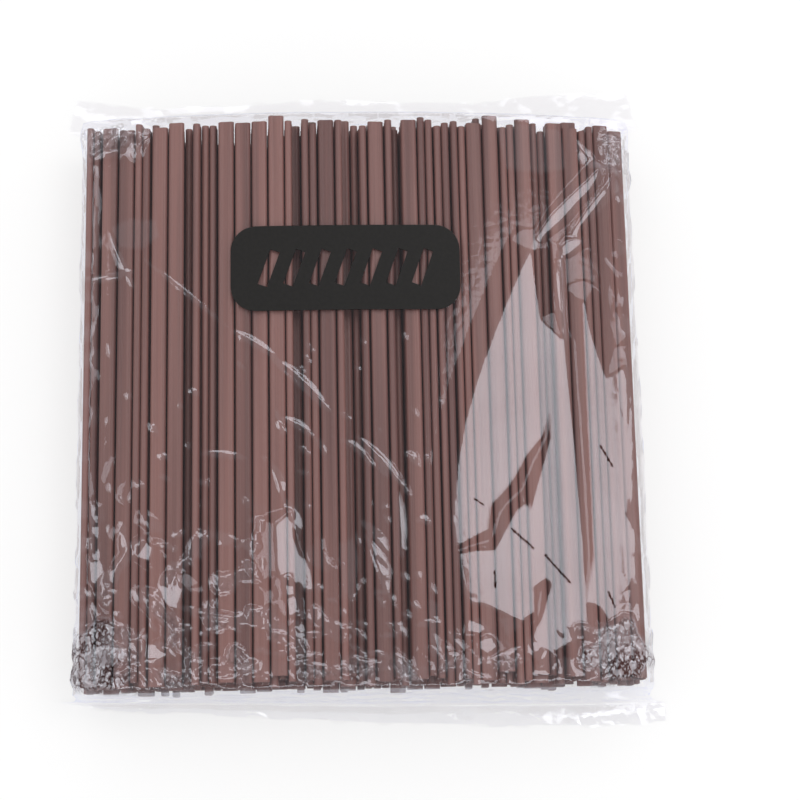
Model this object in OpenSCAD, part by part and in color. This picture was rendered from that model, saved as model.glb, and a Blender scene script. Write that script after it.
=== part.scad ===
// Pack of flat drinking straws in a clear film bag, lying flat.
// The straws run along Y, the pack's width is along X, and Z is up.
// The origin is on the surface it lies on, under the middle of the bag.

/* [Straw] */
// Length of one straw
straw_l = 180; // [120:1:240]
// Width of a straw across its two lobes
straw_w = 5; // [3.6:0.1:7]
// Thickness of a straw over its lobes
straw_t = 2.3; // [1.6:0.1:3]
// Depth of the shallow waist between the lobes, on each face
waist_depth = 0.1; // [0.05:0.01:0.2]
// Thickness of the straw's outer wall
wall = 0.22; // [0.15:0.01:0.35]
// Thickness of the web between the two channels
web = 0.24; // [0.15:0.01:0.5]

/* [Pack] */
// Number of columns of straws side by side
columns = 33; // [8:1:50]
// Height of the pack of straws in the middle
pack_h = 36; // [14:0.5:50]
// How much lower the pack is at its left and right edges
dome = 8; // [0:0.5:9]
// Share of the pack's height that is filled by pairs of straws on edge
edge_share = 0.5; // [0:0.05:1]
// Share of the pairs on top of the pack that lack one straw
gap_share = 0.3; // [0:0.05:1]
// Share of the flat straws on top of the pack that are missing
sunk_share = 0.15; // [0:0.05:1]
// Furthest that a straw's end stands out of the pack's mean end
end_scatter = 2; // [0:0.1:3]
// Most that a straw is rolled from its neighbours, in degrees
roll_scatter = 4; // [0:0.5:4]
// Space between neighbouring columns
column_gap = 0.35; // [0.3:0.05:1]
// Furthest that a straw is moved aside, as a share of the space between columns
aside_share = 0.2; // [0:0.05:0.2]
// How far a column bends aside over the width of a straw, as a share of the same space
bend_share = 0.7; // [0:0.05:0.7]

/* [Film] */
// Thickness of the film
film_t = 0.4; // [0.3:0.05:1]
// Space between the straws and the film
film_gap = 0.35; // [0.3:0.05:1]
// Length over which the near end of the bag comes down to its seal
near_closing_l = 4.5; // [3:0.5:20]
// Length of the flat seal at the near end
near_seal_l = 8; // [4:0.5:30]
// Length over which the far end of the bag comes down to its seal
far_closing_l = 8; // [3:0.5:20]
// Length of the flat seal at the far end
far_seal_l = 13; // [4:0.5:30]
// How far a seal is wider than the bag, on each side
ear_l = 8; // [2:0.5:15]
// Height of the ripples along a seal
ripple_h = 1.8; // [0:0.1:3]
// Height of the creases across the bag
crease_h = 0.6; // [0:0.05:1]
// Height of the crumpled film at the corners
crumple_h = 1.6; // [0:0.1:2]

/* [Print] */
// Width of the printed panel
panel_w = 73; // [30:1:100]
// Length of the printed panel
panel_l = 28; // [10:1:40]
// Radius of the panel's corners
panel_r = 8; // [1:0.5:12]
// Thickness of the print
print_t = 0.12; // [0.1:0.01:0.3]
// Number of slanted bars left clear in the panel
panel_bars = 7; // [1:1:12]
// Slant of the bars, in degrees
bar_slant = 20; // [0:1:30]

/* [Hidden] */
$fn = 32;
straw_seed = 11;
film_seed = 5;
film_color = [0.93, 0.93, 0.94, 0.3];
print_color = [0.16, 0.15, 0.14];
straw_color = [0.34, 0.2, 0.17];

lobe_r = straw_t / 2;
lobe_x = straw_w / 2 - lobe_r;
fit = 0.02;
flat_pitch = straw_t + 2 * lobe_x * sin(roll_scatter) + fit;
edge_pitch = straw_w + fit;
column_pitch = straw_w + column_gap;
pack_w = columns * column_pitch;
aside_most = aside_share * column_gap;
bend = bend_share * column_gap / straw_w;
bend_most = bend * pack_h / 4;
most_in_column = 60;

// The inside of the bag is a rounded section, lower at its sides
corner_room = 1;
inner_x = pack_w / 2 + film_gap + corner_room;
inner_h = pack_h + 2 * film_gap;
section_power = 8;
dome_power = 2.2;
end_room = end_scatter + film_gap;
near_l = near_closing_l + near_seal_l;
far_l = far_closing_l + far_seal_l;
pack_y = (near_l - far_l) / 2;
pack_end = straw_l / 2 + end_room;
void_end_h = 0.3;

// Stations round the bag's section and along it
across = 40;
up = 9;
around = 2 * (across + up);
near_seal_rings = 5;
closing_rings = 4;
pack_rings = 30;
far_seal_rings = 6;
closing_power = 0.75;

// How the film's points are worked: the underside is dropped to the floor, the top is creased
// and crumpled, and the sides are uneven
under = 0.3;
top_from = 1;
side_from = 0.9;
side_noise = 0.3;

// The far seal narrows towards its end, and the near seal only at its very edge
far_seal_taper = 1 / 3;
near_seal_taper_l = 2;

// Ripples of the seals, in degrees for each millimetre into the seal and across it
ripple_in = 105;
ripple_across = 3.1;
ripple_slant = 20;
ripple_sway = 60;
ripple_sway_across = 2.2;
ripple_start_l = 2;

// The print lies on the film, clear of creases
panel_lift = 0.03;
panel_margin = 6;
panel_cells = 24;
bar_share = 0.385;

// Places on the bag, from the middle of the straws
panel_at = [-4.5, 40];
creases = [
    [-83, 57, -63, 27, 5],
    [-72, 50, -30, 12, 4],
    [-30, 12, -10, 3, 4],
    [-5, -5, 12, -24, 4],
    [-25, -30, -6, -62, 5],
    [45, 50, 75, 76, 6],
    [52, 48, 80, 72, 5],
    [60, 86, 79, 64, 6],
    [30, 6, 62, -40, 5],
    [40, -60, 78, -72, 6],
    [-80, -40, -62, -66, 5],
    [4, -44, 10, -80, 4]
];
crumples = [
    [-80, -82, 15],
    [76, -82, 14],
    [78, 80, 14],
    [-82, 82, 9]
];

function column_name(c) = str("straws_", c < 10 ? "0" : "", c);

// Height of the bag's inside at x, before its corners are rounded
function dome_h(x) = inner_h - dome * pow(min(1, abs(x) / inner_x), dome_power);

// How far the rounded section reaches from its mid height at x, from 0 to 1
function fill_at(x) =
    pow(1 - pow(min(1, abs(x) / inner_x), section_power), 1 / section_power);

function base_z(x) = film_t + dome_h(x) / 2 * (1 - fill_at(x));
function roof_z(x) = film_t + dome_h(x) / 2 * (1 + fill_at(x));

module channel(side) {
    channel_r = lobe_r - wall;
    waist_r = lobe_r - waist_depth - wall;
    translate([side * lobe_x, 0]) circle(r = channel_r);
    translate([side > 0 ? web / 2 : -lobe_x, -waist_r]) square([lobe_x - web / 2, 2 * waist_r]);
}

module straw_profile() {
    difference() {
        union() {
            for (side = [-1, 1]) translate([side * lobe_x, 0]) circle(r = lobe_r);
            square([2 * lobe_x, straw_t - 2 * waist_depth], center = true);
        }
        for (side = [-1, 1]) channel(side);
    }
}

module straw(x, z, roll, shift) {
    translate([x, pack_y + straw_l / 2 + shift, z])
        rotate([90, 0, 0])
            rotate([0, 0, roll])
                linear_extrude(height = straw_l) straw_profile();
}

// The pile of one column from the bottom up: for each item, [1 if it is a pair on edge, its base],
// and the height of the pile last
function pile(h, pick, i = 0, z = 0, made = []) =
    z + flat_pitch > h ? concat(made, [[2, z]]) :
    pick[i] < edge_share && z + edge_pitch <= h
        ? pile(h, pick, i + 1, z + edge_pitch, concat(made, [[1, z]]))
        : pile(h, pick, i + 1, z + flat_pitch, concat(made, [[0, z]]));

// How far a straw has slid along the pack, mostly little
function slid(pick) = end_scatter * pick * abs(pick);

module straw_column(c) {
    mid_x = (c - (columns + 1) / 2) * column_pitch;
    outer = abs(mid_x) + straw_w / 2 + aside_most + bend_most;
    low = base_z(outer) + film_gap;
    high = roof_z(outer) - film_gap;
    items = pile(high - low, rands(0, 1, most_in_column, straw_seed + c));
    last = len(items) - 1;
    stretch = (high - low) / items[last][1];
    slope = atan((dome_h(mid_x + 1) - dome_h(mid_x - 1)) / 2);
    turn = rands(-1, 1, most_in_column, straw_seed + 100 + c);
    slide = rands(-1, 1, 2 * most_in_column, straw_seed + 200 + c);
    lacks = rands(0, 1, 2, straw_seed + 300 + c);
    aside = rands(-aside_most, aside_most, most_in_column, straw_seed + 400 + c);
    color(straw_color)
        for (i = [0 : last - 1]) {
            on_edge = items[i][0] == 1;
            on_top = i == last - 1;
            z = low + stretch * items[i][1] + (on_edge ? edge_pitch : flat_pitch) / 2;
            x = mid_x + aside[i] + bend * abs(z - pack_h / 2) - bend_most;
            lean = slope * i / max(1, last - 1);
            if (on_edge)
                for (k = [0, 1]) {
                    out = (k - 0.5) * flat_pitch;
                    kept = !on_top || lacks[0] > gap_share || k == round(lacks[1]);
                    if (kept)
                        straw(x + out * cos(lean), z + out * sin(lean), 90 + lean,
                            slid(slide[2 * i + k]));
                }
            else if (!on_top || lacks[0] > sunk_share)
                straw(x, z, lean + roll_scatter * turn[i], slid(slide[2 * i]));
        }
}

// A place on the unit square's edge for station i, from the bottom's left corner round by +X
function square_place(i) =
    i < across ? [2 * i / across - 1, -1] :
    i < across + up ? [1, 2 * (i - across) / up - 1] :
    i < 2 * across + up ? [1 - 2 * (i - across - up) / across, 1] :
    [-1, 1 - 2 * (i - 2 * across - up) / up];

function rounded_place(i) =
    let (p = square_place(i),
         k = pow(pow(abs(p.x), section_power) + pow(abs(p.y), section_power), -1 / section_power))
    k * p;

// One ring: its place along Y, its share of the full height, its half width, its inset
function ring(y, share, half, inset) =
    [for (i = [0 : around - 1])
        let (p = rounded_place(i),
             x = p.x * (half - inset),
             full = dome_h(x * inner_x / half) + 2 * film_t - 2 * inset)
        [x, y, inset + max(share * full, void_end_h) / 2 * (1 + p.y)]];

function steps(n) = [for (i = [1 : n]) i / n];
function closing_share(s) = pow(1 - s, closing_power);

bag_x = inner_x + film_t;
seal_share = 2 * film_t / (inner_h + 2 * film_t);

// The rings of the bag from its near end to its far end, as [y, share of height, half width]
near_end = -pack_end - near_l;
far_end = pack_end + far_l;
bag_rings = concat(
    [[near_end, seal_share, bag_x + ear_l - near_seal_taper_l]],
    [for (s = steps(near_seal_rings)) [near_end + s * near_seal_l, seal_share, bag_x + ear_l]],
    [for (s = steps(closing_rings))
        [near_end + near_seal_l + s * near_closing_l, max(seal_share, closing_share(1 - s)),
            bag_x + ear_l * pow(1 - s, 2)]],
    [for (s = steps(pack_rings)) [-pack_end + 2 * s * pack_end, 1, bag_x]],
    [for (s = steps(closing_rings))
        [pack_end + s * far_closing_l, max(seal_share, closing_share(s)),
            bag_x + ear_l * pow(s, 2)]],
    [for (s = steps(far_seal_rings))
        [pack_end + far_closing_l + s * far_seal_l, seal_share,
            bag_x + ear_l * (1 - s * far_seal_taper)]]);

void_rings = concat(
    [for (s = concat([0], steps(closing_rings)))
        [-pack_end - (1 - s) * (near_closing_l - film_t), closing_share(1 - s), bag_x]],
    [for (s = concat([0], steps(closing_rings)))
        [pack_end + s * (far_closing_l - film_t), closing_share(s), bag_x]]);

function along(a, b, p) = min(1, max(0, (p - a) * (b - a) / ((b - a) * (b - a))));

function crease_rise(p) =
    max([for (c = creases)
        let (a = [c[0], c[1]], b = [c[2], c[3]], foot = a + along(a, b, p) * (b - a))
        max(0, 1 - norm(p - foot) / c[4])]);

function crumple_share(p) =
    max([for (c = crumples) max(0, 1 - pow(norm(p - [c[0], c[1]]) / c[2], 2))]);

function seal_depth(y) = max(0, -pack_end - near_closing_l - y, y - pack_end - far_closing_l);

function ripple(x, y) =
    let (d = seal_depth(y),
         sway = ripple_sway * sin(ripple_sway_across * x),
         waves = sin(ripple_in * d + sway) + sin(ripple_across * x + ripple_slant * d))
    ripple_h * min(1, d / ripple_start_l) * (2 + waves) / 4;

function on_panel(p) =
    abs(p.x - panel_at.x) < panel_w / 2 + panel_margin
        && abs(p.y - panel_at.y) < panel_l / 2 + panel_margin;

noise = rands(0, 1, around * len(bag_rings), film_seed);

// Moves a point of the bag outwards by its creases, crumples and ripples
function worked(p, n, side) =
    let (at = [p.x, p.y], sealed = seal_depth(p.y) > 0,
         top = p.z > film_t + top_from && !sealed,
         crumple = crumple_h * n * crumple_share(at),
         rise = on_panel(at) ? 0 : crease_h * crease_rise(at) + crumple,
         out = sealed || abs(side) < side_from ? 0 : crumple + side_noise * n)
    [p.x + side * out, p.y,
        sealed ? p.z + ripple(p.x, p.y) : top ? p.z + rise : p.z - under];

bag_points =
    [for (r = [0 : len(bag_rings) - 1])
        let (b = bag_rings[r], points = ring(b[0], b[1], b[2], 0))
        for (i = [0 : around - 1]) worked(points[i], noise[r * around + i], rounded_place(i).x)];

void_points = [for (b = void_rings) for (p = ring(b[0], b[1], b[2], film_t)) p];

// The side faces and the two end faces of a stack of rings
function ring_faces(n) = concat(
    [[for (i = [around - 1 : -1 : 0]) i]],
    [[for (i = [0 : around - 1]) (n - 1) * around + i]],
    [for (r = [0 : n - 2]) for (i = [0 : around - 1])
        let (a = r * around + i, b = r * around + (i + 1) % around)
        for (f = [[a, b, b + around], [a, b + around, a + around]]) f]);

module film_bag() {
    size = 2 * (bag_x + ear_l + straw_l);
    color(film_color)
        translate([0, pack_y, 0])
            difference() {
                intersection() {
                    polyhedron(bag_points, ring_faces(len(bag_rings)), convexity = 8);
                    translate([-size / 2, -size / 2, 0]) cube([size, size, size]);
                }
                polyhedron(void_points, ring_faces(len(void_rings)), convexity = 4);
            }
}

module panel_outline() {
    difference() {
        hull()
            for (side_x = [-1, 1], side_y = [-1, 1])
                translate([side_x * (panel_w / 2 - panel_r), side_y * (panel_l / 2 - panel_r)])
                    circle(r = panel_r);
        bar_pitch = (panel_w - 2 * panel_r) / panel_bars;
        for (i = [0 : panel_bars - 1])
            translate([(i - (panel_bars - 1) / 2) * bar_pitch, 0])
                rotate([0, 0, -bar_slant])
                    square([bar_pitch * bar_share, panel_l - 2 * panel_r], center = true);
    }
}

module printed_panel() {
    // A curved sheet a little larger than the panel, cut to the panel's outline
    half_w = panel_w / 2 + 1;
    half_l = panel_l / 2 + 1;
    rows = [for (j = [-1, 1]) for (i = [0 : panel_cells]) for (lift = [panel_lift, panel_lift + print_t])
        let (x = panel_at.x - half_w + 2 * half_w * i / panel_cells)
        [x, panel_at.y + j * half_l, roof_z(x) + film_t + lift]];
    n = 2 * (panel_cells + 1);
    color(print_color)
        translate([0, pack_y, 0])
            intersection() {
                polyhedron(rows, concat(
                    [for (i = [0 : panel_cells - 1])
                        for (f = [[2 * i, 2 * i + 2, n + 2 * i + 2, n + 2 * i],
                            [2 * i + 1, n + 2 * i + 1, n + 2 * i + 3, 2 * i + 3],
                            [2 * i, 2 * i + 1, 2 * i + 3, 2 * i + 2],
                            [n + 2 * i, n + 2 * i + 2, n + 2 * i + 3, n + 2 * i + 1]]) f],
                    [[0, n, n + 1, 1],
                        [n - 2, n - 1, 2 * n - 1, 2 * n - 2]]),
                    convexity = 4);
                translate([panel_at.x, panel_at.y, 0])
                    linear_extrude(height = 2 * inner_h) panel_outline();
            }
}

film_bag();
printed_panel();
for (c = [1 : columns]) straw_column(c);
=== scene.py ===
import math

import bpy
import numpy as np
from bpy.props import FloatProperty, FloatVectorProperty, IntProperty, PointerProperty
from mathutils import Matrix, Vector


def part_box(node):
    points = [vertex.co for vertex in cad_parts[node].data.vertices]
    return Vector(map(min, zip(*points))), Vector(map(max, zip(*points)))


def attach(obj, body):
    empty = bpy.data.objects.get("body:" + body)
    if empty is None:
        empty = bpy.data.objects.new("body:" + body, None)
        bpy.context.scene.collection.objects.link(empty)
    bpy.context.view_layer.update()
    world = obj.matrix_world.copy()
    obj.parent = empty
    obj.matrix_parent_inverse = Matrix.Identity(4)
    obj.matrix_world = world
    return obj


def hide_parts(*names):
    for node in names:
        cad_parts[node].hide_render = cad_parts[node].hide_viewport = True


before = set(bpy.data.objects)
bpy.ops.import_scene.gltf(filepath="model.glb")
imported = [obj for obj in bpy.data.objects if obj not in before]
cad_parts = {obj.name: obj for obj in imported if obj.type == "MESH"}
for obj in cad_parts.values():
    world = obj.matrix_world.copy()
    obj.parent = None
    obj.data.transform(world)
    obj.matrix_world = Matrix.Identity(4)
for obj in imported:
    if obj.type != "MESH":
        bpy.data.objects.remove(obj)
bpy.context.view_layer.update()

bl_info = {
    "name": "Bagged pack of drinking straws",
    "version": (1, 0, 0),
    "blender": (4, 2, 0),
    "location": "View3D > Sidebar > Straw pack",
    "description": "Makes the film bag, the finishes and the studio of a pack of flat drinking straws",
    "category": "Object",
}

# Lengths are worked out in millimetres and written to meshes in metres
MM = 0.001
STRAWS = sorted(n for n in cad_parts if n.startswith("straws_"))


def straw_box():
    """Lowest and highest corner of all the straws, in millimetres."""
    boxes = [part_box(n) for n in STRAWS]
    low = [min(b[0][k] for b in boxes) / MM for k in range(3)]
    high = [max(b[1][k] for b in boxes) / MM for k in range(3)]
    return low, high


PILE_LOW, PILE_HIGH = straw_box()
BAG_LOW, BAG_HIGH = [[c / MM for c in corner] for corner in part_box("film_bag")]
PANEL_LOW, PANEL_HIGH = [[c / MM for c in corner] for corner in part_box("printed_panel")]

# The photograph is this many pixels wide and high. Picked outlines and lines were picked in it, as
# pixels from its top left corner; on_film() lays them on the bag's top
PHOTO_SIDE = 800
# Flat pieces of film that stand off the straws: how much each falls along +X and +Y, its height
# over the straws at its lowest corner, the slope round it, and its picked outline
PLATES = [
    (0, 0, 1.5, 0.22, [
        (529, 251), (538, 320), (562, 343), (573, 455), (580, 540), (586, 634), (562, 646), (536, 660),
        (531, 640), (541, 622), (552, 585), (546, 577), (531, 588), (532, 612), (520, 622), (500, 612),
        (487, 606), (470, 603), (464, 590), (458, 556), (472, 553), (494, 552), (510, 523), (516, 512),
        (524, 506), (530, 514), (541, 474), (551, 438), (550, 409), (539, 438), (525, 454), (512, 478),
        (504, 489), (488, 507), (485, 530), (456, 547), (452, 520), (455, 490), (457, 465), (464, 425),
        (476, 382), (500, 318), (518, 275),
    ]),
    (0, 0, 1.5, 0.22, [
        (583, 303), (588, 330), (596, 355), (605, 380), (625, 368), (630, 409), (632, 514), (637, 625),
        (610, 621), (599, 606), (586, 602), (594, 558), (591, 480), (588, 420), (585, 350),
    ]),
    (-0.02, -0.09, 0.4, 0.9, [
        (595, 173), (586.7, 181.7), (566.7, 200), (550, 216.7), (536.7, 236.7), (531.7, 248.3),
        (533.3, 250), (543.3, 236.7), (560, 221.7), (573.3, 206.7), (586.7, 193.3), (595, 180),
    ]),
    (-0.05, -0.09, 0.4, 0.9, [
        (608.3, 177.3), (600, 193.3), (586.7, 210), (573.3, 230), (570, 236.7), (575, 238.3),
        (580, 226.7), (593.3, 210), (603.3, 196.7), (610, 186.7),
    ]),
    (-0.03, -0.08, 0.4, 0.9, [
        (561.7, 246.7), (566.7, 241.7), (576.7, 240), (581.7, 243.3), (570, 253.3), (563.3, 256.7),
    ]),
    (0.25, 0.04, 0.1, 0.3, [
        (276.7, 525), (290, 513), (293, 540), (298, 553), (308, 567), (312, 590), (303, 590),
        (300, 580), (293, 583), (298, 613), (290, 617), (287, 590), (278, 567),
    ]),
    (0.24, 0.06, 0.1, 0.3, [(293, 620), (303, 627), (308, 650), (298, 637)]),
    (-0.18, 0.04, 0.1, 0.3, [(163, 577), (175, 575), (185, 590), (177, 608), (160, 600), (157, 593)]),
    (-0.15, 0.04, 0.1, 0.3, [(132, 591), (150, 596), (148, 603), (135, 600)]),
    (-0.15, 0.03, 0.1, 0.3, [(128, 543), (140, 541), (153, 548), (150, 560), (138, 556)]),
    (-0.13, 0.02, 0.1, 0.3, [(120, 523), (124, 525), (127, 553), (122, 548)]),
    (-0.1, 0.02, 0.1, 0.3, [(92, 507), (98, 509), (100, 560), (94, 558)]),
    (-0.1, 0.03, 0.1, 0.3, [(90, 560), (103, 565), (100, 590), (92, 580)]),
    (-0.14, 0.06, 0.1, 0.3, [(125, 632), (140, 634), (138, 647), (130, 645)]),
    (-0.16, 0.06, 0.1, 0.3, [(143, 647), (160, 644), (167, 656), (155, 663), (145, 658)]),
    (-0.21, 0.08, 0.1, 0.3, [(187, 666), (210, 669), (206, 683), (195, 682)]),
    (0.015, 0.085, 0.3, 0.35, [
        (531, 672), (541, 664), (560, 660), (597, 656), (602, 672), (588, 679), (533, 680),
    ]),
    (0.089, 0.076, 0.2, 0.6, [(468, 622), (480, 620), (487, 627), (480, 633), (467, 632)]),
    (0.089, 0.076, 0.2, 0.6, [(500, 620), (510, 618), (520, 627), (507, 633)]),
    (0.089, 0.076, 0.2, 0.6, [(480, 640), (492, 637), (497, 647), (487, 653), (480, 648)]),
    (0.089, 0.076, 0.2, 0.6, [(527, 640), (543, 635), (560, 637), (547, 647), (533, 657), (527, 653)]),
    (0.089, 0.076, 0.2, 0.6, [(500, 663), (510, 660), (512, 673), (500, 678)]),
]
# The mesh rounds a flat piece's rim, so each piece is made this much larger all round
RIM = 0.4
# Creases as picked start and end, and width
CREASES = [
    (110, 235, 135, 290, 1.8), (143, 258, 232, 330, 1), (232, 330, 280, 360, 2.2),
    (280, 360, 330, 410, 2.4), (272, 358, 325, 408, 1.9), (357, 436, 405, 487, 2.4),
    (345, 440, 373, 463, 2.2), (377, 465, 389, 478, 2.2), (405, 452, 418, 464, 2.2),
    (424, 457, 429, 460, 2.2), (398, 492, 401, 561, 2.2), (360, 520, 388, 552, 2.8),
    (367, 536, 387, 594, 3.5), (417, 520, 431, 522, 2.2), (560, 253, 563, 340, 2.4),
    (586, 150, 606, 176, 3.1), (575, 140, 603, 178, 3.1), (200, 453, 247, 458, 1.9),
    (278, 418, 285, 433, 1.9), (282, 417, 315, 437, 2.2), (315, 437, 326, 456, 1.9),
    (272, 463, 283, 497, 2.6), (283, 497, 300, 533, 2.8), (243, 560, 255, 577, 2.2),
    (200, 613, 253, 618, 2.2), (87, 280, 133, 272, 1.9), (177, 607, 307, 636, 2.2),
    (210, 677, 260, 665, 2.2), (600, 143, 612, 165, 1.4), (609, 180, 603, 195, 1.3),
    (613, 186, 625, 208, 1.4), (605, 255, 618, 272, 1.2),
]
# How wide the steep side of a crease is, and how many small creases there are in the band along the
# near end and over the near left quarter
STEEP_SIDE = 0.9
BAND_CREASES = 110
QUARTER_CREASES = 100
# Picked outlines of flat film that doesn't cling to the straws below
HAZES = [
    [(497, 124), (520, 125), (560, 132), (565, 168), (540, 172), (507, 168)],
    [(113, 228), (130, 220), (155, 222), (158, 236), (142, 248), (120, 246)],
    [(340, 545), (352, 540), (358, 560), (352, 600), (344, 590)],
    [(430, 600), (438, 605), (436, 650), (430, 640)],
]
# Lines of painted shade where the film dips in the flat pieces, as picked start and end
PAINTED_DIP_LINES = [
    (512, 530, 533, 549), (545, 556, 570, 584), (475, 500, 483, 505), (600, 447, 612, 467),
    (608, 593, 614, 607), (495, 587, 494, 572),
]
# Crumpled corners as centre, radii along X and Y, and share of the full crumple
CRUMPLES = [
    (-82.0, -87.0, 13.0, 17.0, 1.0), (78.0, -87.0, 16.0, 13.0, 1.0),
    (85.0, 76.0, 7.0, 13.0, 0.66), (-80.0, 82.0, 15.0, 10.0, 0.7),
]
# Lamps as place, width and depth, all at one height
LAMPS = {
    "key_softbox": (660, 270, 800, 600), "back_card": (500, 1250, 2200, 700),
    "left_card": (-1300, 300, 700, 1300), "front_card": (0, -1500, 2200, 700),
}
LAMP_HEIGHT = 1500
# The camera's place, in degrees how far it looks to the right of +Y, how far down, and its roll, and
# its focal length and sensor's width
CAMERA_AT = (-16.401, -137.074, 613.667)
CAMERA_TURN = 12.316
CAMERA_TILT = 77.0538
CAMERA_ROLL = 11.4058
LENS = 85.01
SENSOR = 36.0
# How far the film clears the ends of the straws, and how long it narrows from there to each seal
END_CLEARANCE = 0.35
NEAR_CLOSING = 4.5
FAR_CLOSING = 8.0
# How far a seal's corners stand out past the bag's sides, and its share of the bag's height
SEAL_EAR = 7.9
SEAL_SHARE = 0.012
# Height of the bag's underside over the floor, and the least height of any of its points
UNDERSIDE = 0.02
LEAST_HEIGHT = 0.015
# Power by which the bag's top falls off from its middle to its sides
SIDE_CURVE = 2.2
# Picked places where the near seal ends, from the left to the right, and their height over the floor
NEAR_EDGE = [(56, 704), (120, 712), (240, 716), (365, 724), (500, 726), (600, 727), (668, 722)]
EDGE_HEIGHT = 0.5


class Wire:
    """A socket of a shader. Arithmetic on it adds the Math nodes that work it out."""

    def __init__(self, shader, socket):
        self.shader, self.socket = shader, socket

    def math(self, operation, a, b, clamp=False):
        return self.shader.math(operation, a, b, clamp)

    def __add__(self, other):
        return self.math("ADD", self, other)

    def __radd__(self, other):
        return self.math("ADD", other, self)

    def __sub__(self, other):
        return self.math("SUBTRACT", self, other)

    def __rsub__(self, other):
        return self.math("SUBTRACT", other, self)

    def __mul__(self, other):
        return self.math("MULTIPLY", self, other)

    def __rmul__(self, other):
        return self.math("MULTIPLY", other, self)

    def __pow__(self, other):
        return self.math("POWER", self, other)

    def clamp(self):
        return self.math("ADD", self, 0.0, clamp=True)


class Shader:
    """A node tree with one method that adds any node."""

    def __init__(self, tree):
        self.tree = tree
        tree.nodes.clear()

    def node(self, kind, settings=None, values=None, out=0):
        """Adds a node: its settings first, then the values or links of its sockets."""
        made = self.tree.nodes.new(kind)
        for name, value in (settings or {}).items():
            setattr(made, name, value)
        for key, value in (values or {}).items():
            if isinstance(value, Wire):
                self.tree.links.new(value.socket, made.inputs[key])
            else:
                made.inputs[key].default_value = value
        return Wire(self, made.outputs[out]) if len(made.outputs) else None

    def math(self, operation, a, b=0.0, clamp=False):
        settings = {"operation": operation, "use_clamp": clamp}
        return self.node("ShaderNodeMath", settings, {0: a, 1: b})

    def mix(self, factor, a, b):
        """Two colours mixed by a factor."""
        return self.node(
            "ShaderNodeMix", {"data_type": "RGBA"}, {0: factor, 6: colour(a), 7: colour(b)}, out=2
        )

    def noise(self, where, scale, detail=2.0, roughness=0.5):
        values = {"Vector": where, "Scale": scale, "Detail": detail, "Roughness": roughness}
        return self.node("ShaderNodeTexNoise", None, values)

    def place(self, stretch=(1, 1, 1)):
        """The object's own coordinates, in metres, stretched."""
        at = self.node("ShaderNodeTexCoord", out="Object")
        return self.node("ShaderNodeMapping", None, {"Vector": at, "Scale": stretch})

    def near_line(self, x, y, line):
        """Distance of a place from a line, in metres; the line's ends are in millimetres."""
        ax, ay, bx, by = (c * MM for c in line)
        dx, dy = bx - ax, by - ay
        from_x, from_y, long = x - ax, y - ay, dx * dx + dy * dy
        t = (from_x * (dx / long) + from_y * (dy / long)).clamp()
        off_x, off_y = from_x - t * dx, from_y - t * dy
        return (off_x * off_x + off_y * off_y) ** 0.5

    def span(self, value, low, high, to_low=0.0, to_high=1.0):
        """The value taken from one span to another, and kept inside it."""
        return self.node(
            "ShaderNodeMapRange", {"clamp": True}, {0: value, 1: low, 2: high, 3: to_low, 4: to_high}
        )


def colour(value):
    return value if isinstance(value, Wire) else (*value[:3], 1.0)


def new_material(name):
    made = bpy.data.materials.new(name)
    made.use_nodes = True
    return made, Shader(made.node_tree)


def dress(node, made):
    """A CAD node takes a material in each of its slots."""
    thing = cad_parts[node]
    for slot in thing.material_slots:
        slot.material = made
    if not thing.material_slots:
        thing.data.materials.append(made)


def new_mesh(name, points, faces, smooth=True):
    mesh = bpy.data.meshes.new(name)
    mesh.from_pydata(points.tolist(), [], faces)
    mesh.polygons.foreach_set("use_smooth", [smooth] * len(mesh.polygons))
    thing = bpy.data.objects.new(name, mesh)
    bpy.context.scene.collection.objects.link(thing)
    return thing


def ease(low, high, value):
    """0 below low, 1 above high, and smooth between them."""
    t = np.clip((value - low) / (high - low), 0, 1)
    return t * t * (3 - 2 * t)


def to_line(x, y, line):
    """Distance of points from a line between two places, and how far along it they are, 0 to 1."""
    ax, ay, bx, by = line[:4]
    dx, dy = bx - ax, by - ay
    t = np.clip(((x - ax) * dx + (y - ay) * dy) / (dx * dx + dy * dy), 0, 1)
    return np.hypot(x - ax - t * dx, y - ay - t * dy), t


def outside(x, y, outline):
    """Distance of points from an outline, 0 inside it."""
    inside = np.zeros(x.shape, bool)
    far = np.full(x.shape, 1e9)
    for (ax, ay), (bx, by) in zip(outline, outline[1:] + outline[:1]):
        far = np.minimum(far, to_line(x, y, (ax, ay, bx, by))[0])
        crosses = (ay > y) != (by > y)
        with np.errstate(divide="ignore", invalid="ignore"):
            inside ^= crosses & (x < (bx - ax) * (y - ay) / (by - ay) + ax)
    return np.where(inside, 0, far)


def folds(x, y, seed, waves, shortest, longest):
    """Heights of softly folded film with slopes of about 1: bent waves of random directions."""
    pick = np.random.RandomState(seed)
    total = np.zeros(x.shape)
    for _ in range(waves):
        turn, length = pick.uniform(0, math.pi), shortest * (longest / shortest) ** pick.uniform()
        along = x * math.cos(turn) + y * math.sin(turn)
        across = y * math.cos(turn) - x * math.sin(turn)
        sway, late = length * pick.uniform(1.5, 3.5), pick.uniform(0, 2 * math.pi)
        phase = (along + 0.35 * length * np.sin(2 * math.pi * across / sway + late)) / length
        total += (np.abs((phase + pick.uniform()) % 1 - 0.5) * 4 - 1) * length / 4
    return total / math.sqrt(waves)


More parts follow.
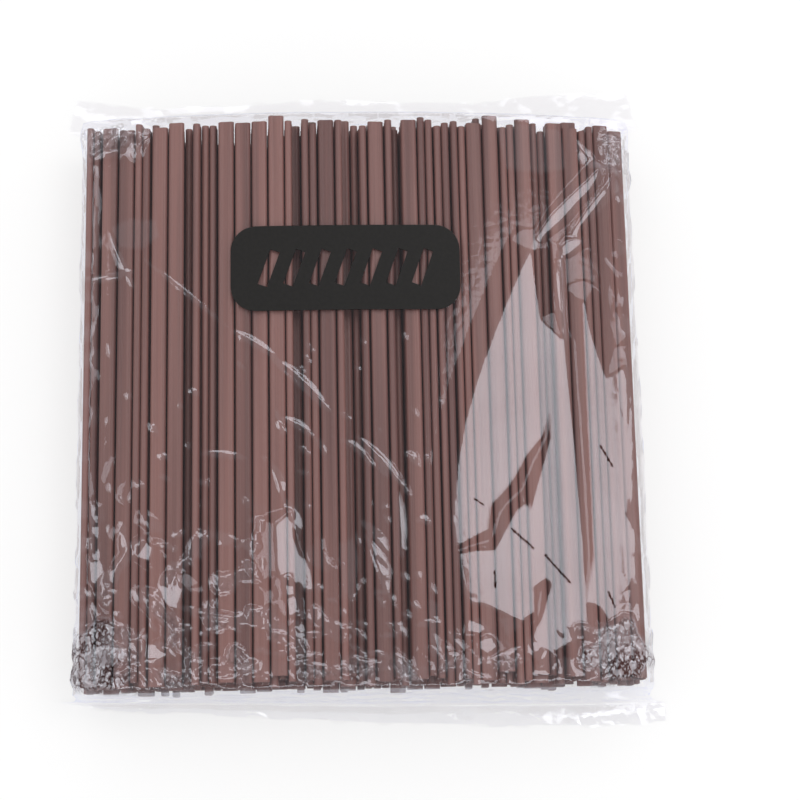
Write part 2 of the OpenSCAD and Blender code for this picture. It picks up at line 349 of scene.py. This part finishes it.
def facets(x, y, seed, size):
    """Heights from 0 up of stiff film crumpled into flat facets with slopes of about 1."""
    pick = np.random.RandomState(seed)
    turn, nodes = pick.uniform(0, math.pi), 67
    a = (x * math.cos(turn) + y * math.sin(turn)) / size
    b = (y * math.cos(turn) - x * math.sin(turn)) / size
    late = pick.uniform(0, 2 * math.pi, 4)
    u = a + 0.55 * np.sin(2.3 * b + late[0]) + 0.3 * np.sin(5.1 * b + late[1])
    v = b + 0.55 * np.sin(2.0 * a + late[2]) + 0.3 * np.sin(4.7 * a + late[3])
    height, flip = pick.uniform(0, 1, (nodes, nodes)), pick.uniform(size=(nodes, nodes)) < 0.5
    i, j = np.floor(u).astype(int), np.floor(v).astype(int)
    s, t = u - i, v - j
    i, j, k, m = i % nodes, j % nodes, (i + 1) % nodes, (j + 1) % nodes
    h00, h10, h01, h11 = height[i, j], height[k, j], height[i, m], height[k, m]
    one = np.where(
        s + t < 1, h00 + s * (h10 - h00) + t * (h01 - h00),
        h11 + (1 - s) * (h01 - h11) + (1 - t) * (h10 - h11),
    )
    other = np.where(
        s > t, h00 + s * (h10 - h00) + t * (h11 - h10), h00 + t * (h01 - h00) + s * (h11 - h01)
    )
    return np.where(flip[i, j], one, other) * size * 1.2


class FilmSettings(bpy.types.PropertyGroup):
    mid_height: FloatProperty(
        name="Middle height", description="Height of the film in the middle",
        default=(PILE_HIGH[2] + 0.75) * MM, unit="LENGTH",
    )
    side_drop: FloatProperty(
        name="Side drop", description="How much lower the bag is at its sides",
        default=0.008, unit="LENGTH",
    )
    half_width: FloatProperty(
        name="Half width", description="Half of the bag's width",
        default=(PILE_HIGH[0] + 1.3) * MM, unit="LENGTH",
    )
    crumple: FloatProperty(
        name="Crumple", description="Slope of the facets in crumpled film", default=0.42
    )
    crinkle_seed: IntProperty(
        name="Crinkle seed", description="Picks the small creases", default=7
    )
    reflectance: FloatProperty(
        name="Reflectance", description="Share of light that loose film seen straight on reflects",
        default=0.08, subtype="FACTOR",
    )
    clinging: FloatProperty(
        name="Clinging", description="Share of light that film clinging to the straws reflects",
        default=0.034, subtype="FACTOR",
    )
    roughness: FloatProperty(
        name="Roughness", description="Roughness of the film", default=0.06, subtype="FACTOR"
    )
    tint: FloatVectorProperty(
        name="Tint", description="Colour of light that comes through the film",
        default=(0.991, 0.987, 0.992), subtype="COLOR",
    )


class StrawSettings(bpy.types.PropertyGroup):
    brown: FloatVectorProperty(
        name="Brown", description="Colour of the straws", default=(0.275, 0.121, 0.102),
        subtype="COLOR",
    )
    deep_brown: FloatVectorProperty(
        name="Deep brown", description="Colour of the darker straws", default=(0.118, 0.043, 0.037),
        subtype="COLOR",
    )
    roughness: FloatProperty(
        name="Roughness", description="Roughness of the straws", default=0.42, subtype="FACTOR"
    )


class PrintSettings(bpy.types.PropertyGroup):
    ink: FloatVectorProperty(
        name="Ink", description="Colour of the print on the film", default=(0.009, 0.008, 0.0075),
        subtype="COLOR",
    )
    roughness: FloatProperty(
        name="Roughness", description="Roughness of the print", default=0.5, subtype="FACTOR"
    )


class StageSettings(bpy.types.PropertyGroup):
    lens: FloatProperty(
        name="Lens", description="Focal length of the camera", default=LENS, unit="CAMERA"
    )
    floor_size: FloatProperty(
        name="Floor", description="Side of the floor", default=6.0, unit="LENGTH"
    )
    sky: FloatProperty(
        name="Sky", description="Strength of the even light all round", default=0.8
    )
    mirrored_sky: FloatProperty(
        name="Mirrored sky", description="Strength of the even light where film mirrors it",
        default=0.55,
    )
    key: FloatProperty(
        name="Key", description="Brightness of the softbox that the slack film mirrors", default=2.95
    )
    cards: FloatProperty(
        name="Cards", description="Brightness of the cards that only crumpled film mirrors",
        default=3.1,
    )
    floor_grey: FloatProperty(
        name="Floor grey", description="How much light the floor sends back", default=0.5,
        subtype="FACTOR",
    )
    floor_fill: FloatProperty(
        name="Floor fill", description="Light added to what the camera sees of the floor",
        default=0.58,
    )


def camera_axes():
    """The camera's directions: ahead, and to the right and up in its picture."""
    turn, tilt, roll = (math.radians(a) for a in (CAMERA_TURN, CAMERA_TILT, CAMERA_ROLL))
    ahead = Vector(
        (math.sin(turn) * math.cos(tilt), math.cos(turn) * math.cos(tilt), -math.sin(tilt))
    )
    right = ahead.cross(Vector((0, 0, 1))).normalized()
    above = right.cross(ahead)
    right, above = (
        math.cos(roll) * right + math.sin(roll) * above,
        math.cos(roll) * above - math.sin(roll) * right,
    )
    return ahead, right, above


def at_height(height, u, v):
    """Where the line of sight through a pixel of the photograph meets a height, in millimetres."""
    ahead, right, above = camera_axes()
    half, long = PHOTO_SIDE / 2, PHOTO_SIDE * LENS / SENSOR
    ray = ahead + right * ((u - half) / long) + above * ((half - v) / long)
    far = (height - CAMERA_AT[2]) / ray[2]
    # A pixel is a third of a millimetre there, so a tenth is as near as a pick can be
    return round(CAMERA_AT[0] + ray[0] * far, 1), round(CAMERA_AT[1] + ray[1] * far, 1)


def on_film(film, u, v):
    """Where the line of sight through a pixel of the photograph meets the bag's top, in millimetres."""
    x = y = 0.0
    # The top falls off to its sides, so each step looks at the height where the last one ended
    for _ in range(6):
        drop = film.side_drop * abs(x * MM / film.half_width) ** SIDE_CURVE
        x, y = at_height((film.mid_height - drop) / MM, u, v)
    return x, y


def line_on_film(film, line):
    """A picked line laid on the bag's top; what follows its two ends is kept."""
    return (*on_film(film, *line[:2]), *on_film(film, *line[2:4]), *line[4:])


def bag_rings(film):
    """The bag's rings from the near end to the far end: place along Y, share of height, half width."""
    near_end, far_end = BAG_LOW[1], BAG_HIGH[1]
    near_pack, far_pack = PILE_LOW[1] - END_CLEARANCE, PILE_HIGH[1] + END_CLEARANCE
    near_seal, far_seal = near_pack - NEAR_CLOSING, far_pack + FAR_CLOSING
    steep, half = 0.62, film.half_width / MM
    # The near top edge is rounded: how much lower it is, and over what length
    edge_drop, edge_round = 0.018, 2.4
    rings = []
    for s in np.linspace(0, 1, 8):
        rings.append((near_end + s * (near_seal - near_end), SEAL_SHARE, half + SEAL_EAR))
    for u in np.linspace(1, 0, 25)[1:]:
        s = 1 - (1 - u) ** steep
        share = max(SEAL_SHARE, (1 - edge_drop) * (1 - u))
        rings.append((near_pack + s * (near_seal - near_pack), share, half + SEAL_EAR * s**3))
    for s in np.linspace(0, 1, 242)[1:]:
        y = near_pack + s * (far_pack - near_pack)
        rings.append((y, 1 - edge_drop * max(0, 1 - (y - near_pack) / edge_round) ** 2, half))
    for u in np.linspace(0, 1, 23)[1:]:
        s = 1 - (1 - u) ** steep
        share = max(SEAL_SHARE, 1 - u)
        rings.append((far_pack + s * (far_seal - far_pack), share, half + SEAL_EAR * s**3))
    for s in np.linspace(0, 1, 9)[1:]:
        rings.append((far_seal + s * (far_end - far_seal), SEAL_SHARE, half + SEAL_EAR * (1 - s / 3)))
    return np.array(rings), (near_seal, near_pack, far_pack, far_seal)


def section_places():
    """The bag's section: places round a square with rounded corners, from the bottom left by +X."""
    bottom, side, top = 14, 14, 286
    sides = [
        [(2 * t - 1, -1) for t in np.arange(bottom) / bottom],
        [(1, 2 * t - 1) for t in np.arange(side) / side],
        [(1 - 2 * t, 1) for t in np.arange(top) / top],
        [(-1, 1 - 2 * t) for t in np.arange(side) / side],
    ]
    p = np.array(sum(sides, []))
    power = np.where(p[:, 1:] > 0, 16, 8)
    return p / (np.abs(p) ** power).sum(1, keepdims=True) ** (1 / power)


def plate(x, y, fall_x, fall_y, rise, slope, outline):
    """Height of a flat piece of film, and of the slope down from it all round."""
    far = outside(x, y, outline)
    lowest = min(-fall_x * cx - fall_y * cy for cx, cy in outline)
    height = rise - fall_x * x - fall_y * y - lowest
    around = slope + math.hypot(fall_x, fall_y)
    return np.maximum(height - around * np.maximum(far - RIM, 0), 0)


def lit_side(film, line):
    """The direction across a crease, and the slope, at which it mirrors a lamp to the camera."""
    ax, ay, bx, by = line[:4]
    x, y, long = (ax + bx) / 2, (ay + by) / 2, math.hypot(bx - ax, by - ay)
    above = LAMP_HEIGHT - PILE_HIGH[2]
    far = above / (CAMERA_AT[2] - PILE_HIGH[2])
    # The bag's top leans outwards on its own
    half = film.half_width / MM
    steep = SIDE_CURVE * abs(x / half) ** (SIDE_CURVE - 1) / half
    lean = film.side_drop / MM * steep * (1 if x > 0 else -1)
    hit_x = x + far * (x - CAMERA_AT[0]) + 2 * above * lean
    hit_y = y + far * (y - CAMERA_AT[1])
    best = (9, 0, 0, 0)
    for slope in np.linspace(0.1, 0.7, 31):
        for way in (1, -1):
            nx, ny = way * (ay - by) / long, way * (bx - ax) / long
            at_x, at_y = hit_x + 2 * above * slope * nx, hit_y + 2 * above * slope * ny
            for cx, cy, width, depth in LAMPS.values():
                off = max(abs(at_x - cx) / width, abs(at_y - cy) / depth) + 0.4 * slope
                best = min(best, (off, nx, ny, slope))
    return best[1:]


def crease(film, x, y, line):
    """Height of a crease: a sliver of film that mirrors a lamp, and a steep side behind it."""
    nx, ny, slope = lit_side(film, line)
    far, t = to_line(x, y, line)
    wide = line[4] * np.sin(np.pi * np.clip(t, 0.03, 0.97)) ** 0.7
    lit = (x - line[0]) * nx + (y - line[1]) * ny > 0
    return slope * np.maximum(np.where(lit, wide - far, wide * (1 - far / STEEP_SIDE)), 0)


def short_crease(x, y, turn, length, width):
    """A crease that starts at a place and runs along a direction."""
    return x, y, x + length * math.cos(turn), y + length * math.sin(turn), width


def small_creases(seed, near_pack):
    """Short creases in a band along the near end, and fewer over the near left quarter."""
    pick = np.random.RandomState(seed)
    band = [
        short_crease(
            pick.uniform(-74, 64), near_pack + 2.5 + 18 * pick.uniform() ** 1.6,
            pick.uniform(-1.3, 0.3), pick.uniform(2.5, 8), pick.uniform(0.9, 1.7),
        )
        for _ in range(BAND_CREASES)
    ]
    quarter = [
        short_crease(
            pick.uniform(-80, 24), -78 + 92 * pick.uniform() ** 1.5,
            pick.normal(-0.75, 0.45), pick.uniform(1.2, 5), pick.uniform(0.8, 1.5),
        )
        for _ in range(QUARTER_CREASES)
    ]
    return band + quarter


def off_panel(x, y):
    """0 over the printed panel, where the film lies flat, and 1 well clear of it."""
    beside = np.maximum(PANEL_LOW[0] - x, x - PANEL_HIGH[0])
    beyond = np.maximum(PANEL_LOW[1] - y, y - PANEL_HIGH[1])
    return ease(2.0, 6.0, np.maximum(beside, beyond))


def slack_film(x, y, film):
    """Height of the flat pieces over the straws, and distance from film that doesn't cling."""
    rise, far = np.zeros(x.shape), np.full(x.shape, 99.0)
    for *form, picks in PLATES:
        outline = [on_film(film, *pick) for pick in picks]
        rise = np.maximum(rise, plate(x, y, *form, outline))
        far = np.minimum(far, outside(x, y, outline))
    for picks in HAZES:
        far = np.minimum(far, outside(x, y, [on_film(film, *pick) for pick in picks]))
    return rise, far


def crumpled_corners(x, y):
    """How crumpled the film is at the bag's corners, from 0 to 1, with uneven borders."""
    uneven = 0.06 * folds(x, y, 82, 4, 5.0, 14.0)
    corner = np.zeros(x.shape)
    for cx, cy, rx, ry, share in CRUMPLES:
        spread = np.hypot((x - cx) / rx, (y - cy) / ry) + uneven
        corner = np.maximum(corner, share * (1 - ease(0.5, 1.0, spread)))
    return corner


def top_relief(x, y, film, near_pack):
    """How far the film on top stands off the straws, how crumpled it is and how loose, from 0 to 1."""
    rise, far = slack_film(x, y, film)
    ridges = np.zeros(x.shape)
    picked = [line_on_film(film, line) for line in CREASES]
    for line in picked + small_creases(film.crinkle_seed, near_pack):
        ridges = np.maximum(ridges, crease(film, x, y, line))
    corner = crumpled_corners(x, y)
    # The film is worked along the near end, over the near left quarter, at the corners and the sides
    patchy = ease(-0.5, 2.5, folds(x, y, 81, 5, 8.0, 28.0))
    edge = 0.78 * (1 - ease(near_pack + 4, near_pack + 17, y)) * (0.35 + 0.65 * patchy)
    quarter = 0.62 * (1 - ease(-45, 25, x)) * (1 - ease(-75, -15, y)) * patchy
    sides = 0.32 * ease(79, 85, np.abs(x)) * (0.3 + 0.7 * patchy)
    # The flat pieces stay flat, less so near the near end
    flat = (0.85 - 0.45 * (1 - ease(-82, -52, y))) * ease(0.2, 0.9, rise) * (corner < 0.3)
    worked = np.maximum(np.maximum(edge, quarter), corner) * (1 - flat)
    big = facets(x, y, 31, 5.2) * 0.75 + facets(x, y, 32, 2.4) * 0.45
    knots = facets(x, y, 33, 4.2) * 0.9 + facets(x, y, 34, 7.0) * 0.7
    crumple = worked * (big * (1 - corner) + knots * corner)
    strips = sides * facets(x * 1.6, y * 0.22, 35, 4.0) * 0.5
    loose = np.maximum(1 - ease(0.0, 0.7, far), ease(0.03, 0.1, ridges))
    loose = np.maximum(loose, ease(0.12, 0.4, np.maximum(worked, sides)))
    lift = rise + ridges + film.crumple * crumple + film.crumple * strips
    clear = off_panel(x, y)
    return lift * clear, worked, loose * clear


def outward(points):
    """Directions straight out from a surface given as rings by stations."""
    round_it = np.roll(points, -1, 1) - np.roll(points, 1, 1)
    along_it = np.gradient(points, axis=0)
    out = np.cross(along_it, round_it)
    return out / (np.linalg.norm(out, axis=2, keepdims=True) + 1e-12)


def shape_seals(points, x, y, limits):
    """Gives the two seals their uneven ends and the ripples that run across them."""
    near_seal, near_pack, far_pack, far_seal = limits
    near_x, near_y = zip(*(at_height(EDGE_HEIGHT, *pick) for pick in NEAR_EDGE))
    shorter = (near_pack - np.interp(x, near_x, near_y)) / (near_pack - BAG_LOW[1])
    beyond = np.maximum(near_pack - points[:, :, 1], 0)
    points[:, :, 1] += beyond * (1 - np.clip(shorter, 0.1, 1))
    beyond = np.maximum(points[:, :, 1] - far_pack, 0)
    points[:, :, 1] -= beyond * (0.14 + 0.12 * np.sin(0.045 * x + 1.0) * np.sin(0.017 * x))
    depth = np.maximum(np.maximum(near_seal - y, y - far_seal), 0)
    ripple = 0.5 + 0.5 * np.sin(0.34 * x + 1.3 * np.sin(0.11 * x) + 0.3 * depth)
    ripple = 0.3 * ripple + 0.12 * facets(x * 0.6, y, 61, 5.0)
    points[:, :, 2] += ripple * np.clip(depth / 3, 0, 1)
    ragged = folds(x[:1], x[:1] * 0 + 3, 71, 5, 5.0, 30.0)
    points[:, :, 1] += np.clip(ragged, -0.9, 0.9) * 0.5 * np.clip(depth / 8, 0, 1)
    points[:, :, 2] = np.maximum(points[:, :, 2], LEAST_HEIGHT)


def film_surface(film):
    """The film bag's points as rings by stations, in millimetres, how crumpled it is and how loose."""
    rings, limits = bag_rings(film)
    near_seal, near_pack, far_pack, far_seal = limits
    place = section_places()
    y, share, half = rings[:, :1], rings[:, 1:2], rings[:, 2:3]
    x = place[:, 0] * half
    y = np.broadcast_to(y, x.shape).copy()
    drop = film.side_drop / MM * np.abs(x / half) ** SIDE_CURVE
    full = share * (film.mid_height / MM - UNDERSIDE - drop)
    z = UNDERSIDE + full / 2 * (1 + place[:, 1])
    up = np.broadcast_to(place[:, 1], x.shape)
    points = np.stack([x, y, z], 2)
    body = ease(near_pack - 1.5, near_pack + 3, y) * ease(-far_pack - 1, -far_pack + 4, -y)
    on_top = ease(0.55, 0.98, up) * (1 - ease(0.985, 0.999, np.abs(place[:, 0])) * 0.5)
    rise, worked, loose = top_relief(x, y, film, near_pack)
    lift = rise * body * on_top
    # The sides and the two ends are gathered in pleats
    sides = ease(0.9, 1.0, np.abs(place[:, 0])) * body
    lift += sides * (0.12 + 0.2 * worked) * facets(y * 0.6, z, 41, 5.0)
    near_end = 1 - ease(near_seal - 1, near_pack + 3, y)
    far_end = 1 - ease(-far_seal - 1, -far_pack + 3, -y)
    ends = np.maximum(near_end, far_end)
    closing = ends * ease(0.02, 0.3, share) * ease(-0.9, 0.2, up)
    lift += closing * (0.3 * facets(x, z, 51, 5.0) + 0.3 * facets(x * 0.25, z, 52, 2.2))
    points += outward(points) * lift[:, :, None]
    shape_seals(points, x, y, limits)
    off_top = (1 - body * ease(0.3, 0.7, up)) * (1 - 0.5 * near_end - 0.9 * far_end)
    crinkled = np.maximum(worked * body, 0.2 * near_end + 0.1 * far_end)
    return points, crinkled, np.maximum(loose * (1 - far_end), off_top)


def film_faces(rings, around):
    """Quads between the rings. The two ends are welded flat, so they are left open."""
    a = np.arange(rings - 1)[:, None] * around + np.arange(around)[None, :]
    b = np.arange(rings - 1)[:, None] * around + (np.arange(around)[None, :] + 1) % around
    quads = np.stack([a, a + around, b + around, b], 2).reshape(-1, 4)
    return quads.tolist()


def painted_dip_shade(s, where, film):
    """1 on painted dark lines that stand in for the shade where the film dips, 0 elsewhere."""
    x = s.node("ShaderNodeSeparateXYZ", None, {0: where}, out="X")
    y = s.node("ShaderNodeSeparateXYZ", None, {0: where}, out="Y")
    ragged = s.noise(where, 1500.0) * 0.0013
    dip_shade = 0.0
    for line in PAINTED_DIP_LINES:
        away = s.near_line(x, y, line_on_film(film, line))
        # Painted shade along each dip line
        dip_line_shade = 1 - s.span(away + ragged, 0.0008, 0.0011)
        dip_shade = s.math("MAXIMUM", dip_line_shade, dip_shade)
    return dip_shade


def film_material(film):
    made, s = new_material("clear_film")
    where = s.place()
    crinkled = s.node("ShaderNodeAttribute", {"attribute_name": "crinkle"}, out="Fac")
    loose = s.node("ShaderNodeAttribute", {"attribute_name": "loose"}, out="Fac")
    fine = s.node(
        "ShaderNodeTexVoronoi", {"feature": "DISTANCE_TO_EDGE"}, {"Vector": where, "Scale": 260.0}
    )
    soft = s.noise(where, 90.0, 3.0)
    # Painted shade: dark cracks wind between the folds of the crumpled corners, where the film loses
    # its reflection and darkens what shows through it
    wind = s.math("ABSOLUTE", s.noise(s.place((1.25, 0.85, 1)), 320.0, 2.0, 0.6) - 0.5)
    knotted = s.span(crinkled, 0.45, 0.85)
    painted_crack_shade = (1 - s.span(wind, 0.01, 0.1)) * knotted * s.span(soft, 0.35, 0.5, 0.5, 1.0)
    # The painted dip lines are added to the painted crack shade
    painted_crack_shade = s.math("MAXIMUM", painted_crack_shade, painted_dip_shade(s, where, film))
    height = (fine * 0.6 + soft * 0.4) * (crinkled * 0.9 + 0.06) + wind * knotted * 0.9
    bump = s.node(
        "ShaderNodeBump", None, {"Strength": 1.0, "Distance": 0.0009, "Height": height}
    )
    facing = s.node("ShaderNodeLayerWeight", None, {"Blend": 0.5, "Normal": bump}, out="Facing")
    smear = s.span(s.noise(where, 35.0, 4.0), 0.35, 0.7)
    # Folded over itself in the crumpled corners, the film reflects more
    layers = knotted * knotted * 0.21
    straight_on = film.clinging + loose * (film.reflectance - film.clinging + smear * 0.015)
    # Painted shade: the cracks and dip lines take the reflection away
    reflects = (straight_on + layers + facing**4.0 * (0.1 + loose * 0.5)) * (1 - painted_crack_shade)
    gloss = s.node(
        "ShaderNodeBsdfGlossy", None,
        {"Color": (0.9, 0.92, 1, 1), "Roughness": film.roughness + knotted * 0.26, "Normal": bump},
    )
    clear = s.node("ShaderNodeBsdfTransparent", None, {"Color": (*film.tint, 1)})
    # A dark see-through sheet, painted shade, that the cracks and dip lines let through in place of
    # clear film
    painted_shade_veil = s.node("ShaderNodeBsdfTransparent", None, {"Color": (0.3, 0.25, 0.26, 1)})
    through = s.node("ShaderNodeMixShader", None, {0: painted_crack_shade * 0.9, 1: clear, 2: painted_shade_veil})
    both = s.node("ShaderNodeMixShader", None, {0: reflects.clamp(), 1: through, 2: gloss})
    s.node("ShaderNodeOutputMaterial", None, {"Surface": both})
    return made


def straw_material(straw):
    made, s = new_material("brown_straw")
    # Tone changes from straw to straw and hardly along one
    tone = s.span(s.noise(s.place((1, 0.02, 1)), 210.0, 1.0), 0.34, 0.62)
    flow = s.span(s.noise(s.place((1, 0.006, 1)), 2600.0, 2.0), 0.3, 0.7)
    cloud = s.noise(s.place((1, 0.25, 1)), 60.0, 3.0)
    shade = (tone * 0.75 + flow * 0.25).clamp()
    paint = s.mix(shade, straw.deep_brown, straw.brown)
    rough = straw.roughness + (cloud - 0.5) * 0.22
    bump = s.node(
        "ShaderNodeBump", None, {"Strength": 0.5, "Distance": 0.00003, "Height": flow + cloud * 2.0}
    )
    skin = s.node(
        "ShaderNodeBsdfPrincipled", None, {"Base Color": paint, "Roughness": rough, "Normal": bump}
    )
    s.node("ShaderNodeOutputMaterial", None, {"Surface": skin})
    return made


def print_material(ink):
    made, s = new_material("dark_print")
    where = s.place()
    mottle = s.span(s.noise(where, 900.0, 3.0, 0.6), 0.3, 0.75)
    light = tuple(min(1.0, c * 1.9 + 0.004) for c in ink.ink)
    paint = s.mix(mottle * 0.5, ink.ink, light)
    rough = ink.roughness + mottle * 0.12
    bump = s.node(
        "ShaderNodeBump", None, {"Strength": 0.4, "Distance": 0.00005, "Height": s.noise(where, 500.0)}
    )
    skin = s.node(
        "ShaderNodeBsdfPrincipled", None,
        {"Base Color": paint, "Roughness": rough, "Normal": bump, "Specular IOR Level": 0.2},
    )
    s.node("ShaderNodeOutputMaterial", None, {"Surface": skin})
    return made


class StrawPackFilm(bpy.types.Operator):
    """Make the clear film bag round the straws"""

    bl_idname = "straw_pack.film"
    bl_label = "Film bag"

    def execute(self, context):
        film = context.scene.straw_pack_film
        points, crinkle, loose = film_surface(film)
        bag = new_mesh("film_bag_clear", points.reshape(-1, 3) * MM, film_faces(*points.shape[:2]))
        for name, values in (("crinkle", crinkle), ("loose", loose)):
            layer = bag.data.attributes.new(name, "FLOAT", "POINT")
            layer.data.foreach_set("value", values.reshape(-1).astype(np.float32))
        bag.data.materials.append(film_material(film))
        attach(bag, "root")
        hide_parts("film_bag")
        return {"FINISHED"}


class StrawPackStraws(bpy.types.Operator):
    """Give the straws their brown plastic"""

    bl_idname = "straw_pack.straws"
    bl_label = "Straws"

    def execute(self, context):
        made = straw_material(context.scene.straw_pack_straws)
        for name in STRAWS:
            dress(name, made)
        return {"FINISHED"}


class StrawPackPrint(bpy.types.Operator):
    """Give the printed panel its ink"""

    bl_idname = "straw_pack.print"
    bl_label = "Printed panel"

    def execute(self, context):
        dress("printed_panel", print_material(context.scene.straw_pack_print))
        return {"FINISHED"}


def floor_material(stage):
    """A pale floor that keeps the shadow, and is lit up to white for the camera."""
    made, s = new_material("pale_floor")
    grey = s.node("ShaderNodeBsdfDiffuse", None, {"Color": (*[stage.floor_grey] * 3, 1)})
    seen = s.node("ShaderNodeLightPath", out="Is Camera Ray")
    mirrored = s.node("ShaderNodeLightPath", out="Is Glossy Ray")
    fill = s.node(
        "ShaderNodeEmission", None,
        {"Color": (1, 1, 1, 1), "Strength": (seen + mirrored) * stage.floor_fill},
    )
    both = s.node("ShaderNodeAddShader", None, {0: grey, 1: fill})
    s.node("ShaderNodeOutputMaterial", None, {"Surface": both})
    return made


def lamp(name, x, y, width, depth, radiance, only_mirrored=True):
    """A softbox that hangs level and shines straight down, sizes in millimetres."""
    light = bpy.data.lights.new(name, "AREA")
    light.shape = "RECTANGLE" if only_mirrored else "ELLIPSE"
    light.size, light.size_y = width * MM, depth * MM
    area = light.size * light.size_y * (1 if only_mirrored else math.pi / 4)
    light.energy = radiance * math.pi * area
    thing = bpy.data.objects.new(name, light)
    thing.location = Vector((x, y, LAMP_HEIGHT)) * MM
    thing.visible_diffuse = not only_mirrored
    bpy.context.scene.collection.objects.link(thing)


def lay_floor(stage):
    half = stage.floor_size / 2
    corners = np.array([(-half, -half, 0), (half, -half, 0), (half, half, 0), (-half, half, 0)])
    floor = new_mesh("floor", corners, [(0, 1, 2, 3)], smooth=False)
    floor.data.materials.append(floor_material(stage))


def hang_lamps(stage):
    for name, place in LAMPS.items():
        if name == "key_softbox":
            lamp(name, *place, stage.key, only_mirrored=False)
        else:
            lamp(name, *place, stage.cards)


def studio_sky(stage):
    """Even light all round; what the film mirrors of it is white low down and darker overhead."""
    world = bpy.data.worlds.new("studio")
    world.use_nodes = True
    s = Shader(world.node_tree)
    seen = s.node("ShaderNodeLightPath", out="Is Camera Ray")
    mirrored = s.node("ShaderNodeLightPath", out="Is Glossy Ray")
    way = s.node("ShaderNodeTexCoord", out="Generated")
    low_down = (1 - s.node("ShaderNodeSeparateXYZ", None, {0: way}, out="Z")).clamp() ** 2.0
    sky_seen = stage.mirrored_sky + low_down * (1 - stage.mirrored_sky)
    strength = stage.sky + seen * (1 - stage.sky) + mirrored * (sky_seen - stage.sky)
    sky = s.node("ShaderNodeBackground", None, {"Color": (1, 1, 1, 1), "Strength": strength})
    s.node("ShaderNodeOutputWorld", None, {"Surface": sky})
    return world


def aim_camera(stage):
    """The camera, looking down at the pack from where the photograph was taken."""
    camera = bpy.data.objects.new("camera", bpy.data.cameras.new("camera"))
    camera.data.sensor_width, camera.data.lens = SENSOR, stage.lens
    camera.data.clip_start, camera.data.clip_end = 0.05, 20.0
    ahead, right, above = camera_axes()
    facing = Matrix((right, above, -ahead)).transposed().to_4x4()
    facing.translation = Vector(CAMERA_AT) * MM
    camera.matrix_world = facing
    bpy.context.scene.collection.objects.link(camera)
    return camera


class StrawPackStage(bpy.types.Operator):
    """Make the floor, the light and the camera"""

    bl_idname = "straw_pack.stage"
    bl_label = "Stage"

    def execute(self, context):
        scene, stage = context.scene, context.scene.straw_pack_stage
        lay_floor(stage)
        hang_lamps(stage)
        scene.world = studio_sky(stage)
        scene.camera = aim_camera(stage)
        scene.view_settings.view_transform = "Standard"
        scene.cycles.transparent_max_bounces = 16
        return {"FINISHED"}


class StrawPackPanel(bpy.types.Panel):
    """Lists the pieces of the straw pack"""

    bl_idname = "VIEW3D_PT_straw_pack"
    bl_label = "Straw pack"
    bl_space_type = "VIEW_3D"
    bl_region_type = "UI"
    bl_category = "Straw pack"

    def draw(self, context):
        for operator, group in OPERATORS:
            column = self.layout.column()
            column.operator(operator.bl_idname)
            settings = getattr(context.scene, group)
            for name in settings.__annotations__:
                column.prop(settings, name)


SETTINGS = {
    "straw_pack_film": FilmSettings,
    "straw_pack_straws": StrawSettings,
    "straw_pack_print": PrintSettings,
    "straw_pack_stage": StageSettings,
}
OPERATORS = [
    (StrawPackStage, "straw_pack_stage"),
    (StrawPackStraws, "straw_pack_straws"),
    (StrawPackPrint, "straw_pack_print"),
    (StrawPackFilm, "straw_pack_film"),
]


def register():
    for group in SETTINGS.values():
        bpy.utils.register_class(group)
    for operator, _ in OPERATORS:
        bpy.utils.register_class(operator)
    bpy.utils.register_class(StrawPackPanel)
    for name, group in SETTINGS.items():
        setattr(bpy.types.Scene, name, PointerProperty(type=group))


def unregister():
    for name in SETTINGS:
        delattr(bpy.types.Scene, name)
    bpy.utils.unregister_class(StrawPackPanel)
    for operator, _ in reversed(OPERATORS):
        bpy.utils.unregister_class(operator)
    for group in SETTINGS.values():
        bpy.utils.unregister_class(group)


def main():
    register()
    for operator, _ in OPERATORS:
        group, name = operator.bl_idname.split(".")
        if getattr(getattr(bpy.ops, group), name)() != {"FINISHED"}:
            raise RuntimeError("not finished: " + operator.bl_idname)


if __name__ == "__main__":
    main()
